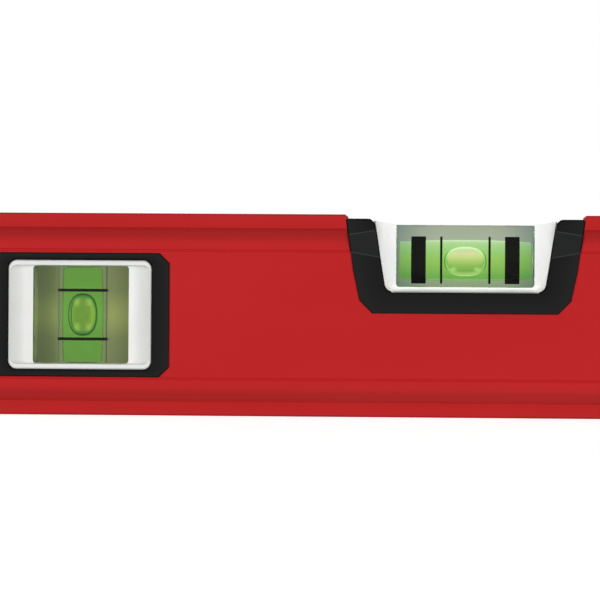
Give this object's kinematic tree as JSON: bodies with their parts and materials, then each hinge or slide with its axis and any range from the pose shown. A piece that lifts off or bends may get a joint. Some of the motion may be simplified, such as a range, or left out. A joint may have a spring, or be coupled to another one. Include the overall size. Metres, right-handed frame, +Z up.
{
  "type": "spirit level",
  "caption": "Box-section spirit level with a notched centre vial under the top edge, a plumb vial near each end and rubber end bumpers.",
  "frame": {"origin": "middle of the bottom measuring face, under the centre vial", "axes": "+X along the level to the right seen from the front, -Y out of the front face, +Z up"},
  "size_m": [0.254, 0.024, 0.05],
  "materials": {
    "beam_paint": "satin",
    "bezel_plastic": "matte",
    "white_plastic": "satin",
    "clear_acrylic": "polished",
    "vial_plug": "satin",
    "vial_fluid": "polished",
    "mark_ink": "matte",
    "bubble": "polished",
    "end_plastic": "matte",
    "bumper_rubber": "matte"
  },
  "bodies": {
    "level": {"beam": "beam_paint", "centre_front_bezel": "bezel_plastic", "centre_rear_bezel": "bezel_plastic", "centre_cradle": "white_plastic", "centre_vial_block": "clear_acrylic", "centre_vial_tube": "clear_acrylic", "centre_vial_plug": "vial_plug", "centre_vial_fluid": "vial_fluid", "centre_level_lines": "mark_ink", "centre_slope_bands": "mark_ink", "left_front_bezel": "bezel_plastic", "left_rear_bezel": "bezel_plastic", "left_front_liner": "white_plastic", "left_rear_liner": "white_plastic", "left_vial_block": "clear_acrylic", "left_vial_tube": "clear_acrylic", "left_vial_plug": "vial_plug", "left_vial_fluid": "vial_fluid", "left_level_lines": "mark_ink", "right_front_bezel": "bezel_plastic", "right_rear_bezel": "bezel_plastic", "right_front_liner": "white_plastic", "right_rear_liner": "white_plastic", "right_vial_block": "clear_acrylic", "right_vial_tube": "clear_acrylic", "right_vial_plug": "vial_plug", "right_vial_fluid": "vial_fluid", "right_level_lines": "mark_ink", "left_end_plug": "end_plastic", "left_end_bumper": "bumper_rubber", "right_end_plug": "end_plastic", "right_end_bumper": "bumper_rubber"},
    "centre_bubble": {"centre_bubble": "bubble"},
    "left_bubble": {"left_bubble": "bubble"},
    "right_bubble": {"right_bubble": "bubble"}
  },
  "joints": [
    {"name": "centre_bubble_slide", "type": "slide", "parent": "level", "child": "centre_bubble", "axis": [1, 0, 0], "range_m": [-0.0105, 0.0105], "stiffness_N_per_m": 20},
    {"name": "left_bubble_slide", "type": "slide", "parent": "level", "child": "left_bubble", "axis": [0, 0, 1], "range_m": [-0.0047, 0.0047], "stiffness_N_per_m": 20},
    {"name": "right_bubble_slide", "type": "slide", "parent": "level", "child": "right_bubble", "axis": [0, 0, 1], "range_m": [-0.0047, 0.0047], "stiffness_N_per_m": 20}
  ]
}
